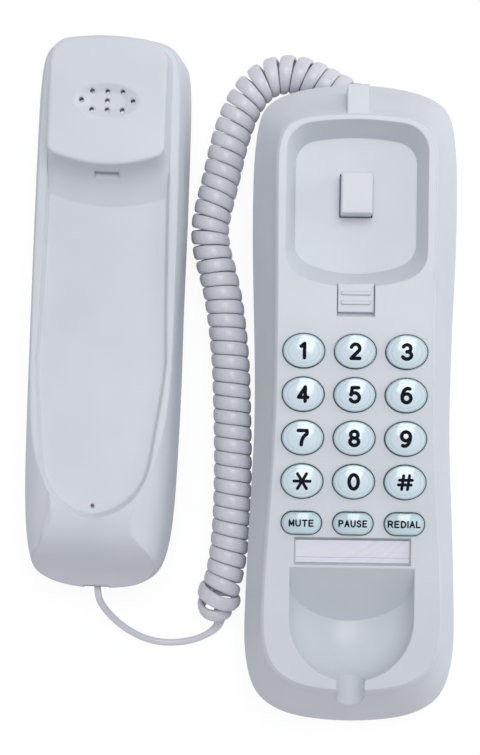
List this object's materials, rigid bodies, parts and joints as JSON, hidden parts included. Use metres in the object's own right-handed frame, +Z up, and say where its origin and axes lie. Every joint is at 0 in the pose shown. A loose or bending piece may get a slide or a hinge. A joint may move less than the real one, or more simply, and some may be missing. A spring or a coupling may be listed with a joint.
{
  "type": "corded telephone",
  "caption": "Slim corded telephone: base with a keypad, recesses and hook switch, a separate handset lying beside it and a curly cord between them.",
  "frame": {"origin": "middle of the base, on the table", "axes": "+Y from the base's cord-notch end to its earpiece end, +X to the right seen from above, +Z up"},
  "size_m": [0.1407, 0.2205, 0.041],
  "materials": {
    "casing": "satin",
    "key": "gloss",
    "cord": "satin",
    "screw_steel": "satin",
    "spring_steel": "satin",
    "weight_steel": "matte",
    "rubber": "matte",
    "keypad_rubber": "matte",
    "circuit_board": "satin",
    "component_black": "matte",
    "capsule_metal": "satin",
    "card": "matte",
    "window": "gloss",
    "clear_plug": "gloss"
  },
  "bodies": {
    "base": {"base_top_housing": "casing", "base_bottom_cover": "casing", "base_screws": "screw_steel", "rubber_feet": "rubber", "keypad_circuit_board": "circuit_board", "keypad_membrane": "keypad_rubber", "keypad_board_screws": "screw_steel", "main_circuit_board": "circuit_board", "main_board_screws": "screw_steel", "board_components": "component_black", "ringer_buzzer": "component_black", "hook_switch_housing": "component_black", "hook_switch_spring": "spring_steel", "index_card": "card", "index_window": "window", "base_handset_jack": "component_black", "line_jack": "component_black", "base_cord_plug": "clear_plug", "curly_cord_coil": "cord", "cord_tail": "cord"},
    "handset": {"handset_front_shell": "casing", "handset_back_shell": "casing", "receiver_gasket": "keypad_rubber", "receiver_capsule": "capsule_metal", "microphone_boot": "keypad_rubber", "microphone_capsule": "capsule_metal", "handset_weight": "weight_steel", "handset_jack": "component_black", "handset_cord_plug": "clear_plug", "handset_screws": "screw_steel"},
    "hook_switch": {"hook_switch_plunger": "casing"},
    "hanger": {"handset_hanger_tab": "casing"},
    "key_1_body": {"key_1": "key"},
    "key_2_body": {"key_2": "key"},
    "key_3_body": {"key_3": "key"},
    "key_4_body": {"key_4": "key"},
    "key_5_body": {"key_5": "key"},
    "key_6_body": {"key_6": "key"},
    "key_7_body": {"key_7": "key"},
    "key_8_body": {"key_8": "key"},
    "key_9_body": {"key_9": "key"},
    "key_star_body": {"key_star": "key"},
    "key_0_body": {"key_0": "key"},
    "key_hash_body": {"key_hash": "key"},
    "key_mute_body": {"key_mute": "key"},
    "key_pause_body": {"key_pause": "key"},
    "key_redial_body": {"key_redial": "key"}
  },
  "joints": [
    {"name": "handset_lift", "type": "slide", "parent": "base", "child": "handset", "axis": [0, 0, 1], "range_m": [0, 0.12], "deforming": ["curly_cord_coil", "cord_tail"]},
    {"name": "hook_switch_press", "type": "slide", "parent": "base", "child": "hook_switch", "axis": [0, 0, -1], "range_m": [0, 0.005], "stiffness_N_per_m": 150, "deforming": ["hook_switch_spring"]},
    {"name": "hanger_slide", "type": "slide", "parent": "base", "child": "hanger", "axis": [0, 1, 0], "range_m": [0, 0.005]},
    {"name": "key_1_press", "type": "slide", "parent": "base", "child": "key_1_body", "axis": [0, 0, -1], "range_m": [0, 0.0012], "stiffness_N_per_m": 400},
    {"name": "key_2_press", "type": "slide", "parent": "base", "child": "key_2_body", "axis": [0, 0, -1], "range_m": [0, 0.0012], "stiffness_N_per_m": 400},
    {"name": "key_3_press", "type": "slide", "parent": "base", "child": "key_3_body", "axis": [0, 0, -1], "range_m": [0, 0.0012], "stiffness_N_per_m": 400},
    {"name": "key_4_press", "type": "slide", "parent": "base", "child": "key_4_body", "axis": [0, 0, -1], "range_m": [0, 0.0012], "stiffness_N_per_m": 400},
    {"name": "key_5_press", "type": "slide", "parent": "base", "child": "key_5_body", "axis": [0, 0, -1], "range_m": [0, 0.0012], "stiffness_N_per_m": 400},
    {"name": "key_6_press", "type": "slide", "parent": "base", "child": "key_6_body", "axis": [0, 0, -1], "range_m": [0, 0.0012], "stiffness_N_per_m": 400},
    {"name": "key_7_press", "type": "slide", "parent": "base", "child": "key_7_body", "axis": [0, 0, -1], "range_m": [0, 0.0012], "stiffness_N_per_m": 400},
    {"name": "key_8_press", "type": "slide", "parent": "base", "child": "key_8_body", "axis": [0, 0, -1], "range_m": [0, 0.0012], "stiffness_N_per_m": 400},
    {"name": "key_9_press", "type": "slide", "parent": "base", "child": "key_9_body", "axis": [0, 0, -1], "range_m": [0, 0.0012], "stiffness_N_per_m": 400},
    {"name": "key_star_press", "type": "slide", "parent": "base", "child": "key_star_body", "axis": [0, 0, -1], "range_m": [0, 0.0012], "stiffness_N_per_m": 400},
    {"name": "key_0_press", "type": "slide", "parent": "base", "child": "key_0_body", "axis": [0, 0, -1], "range_m": [0, 0.0012], "stiffness_N_per_m": 400},
    {"name": "key_hash_press", "type": "slide", "parent": "base", "child": "key_hash_body", "axis": [0, 0, -1], "range_m": [0, 0.0012], "stiffness_N_per_m": 400},
    {"name": "key_mute_press", "type": "slide", "parent": "base", "child": "key_mute_body", "axis": [0, 0, -1], "range_m": [0, 0.0012], "stiffness_N_per_m": 400},
    {"name": "key_pause_press", "type": "slide", "parent": "base", "child": "key_pause_body", "axis": [0, 0, -1], "range_m": [0, 0.0012], "stiffness_N_per_m": 400},
    {"name": "key_redial_press", "type": "slide", "parent": "base", "child": "key_redial_body", "axis": [0, 0, -1], "range_m": [0, 0.0012], "stiffness_N_per_m": 400}
  ]
}
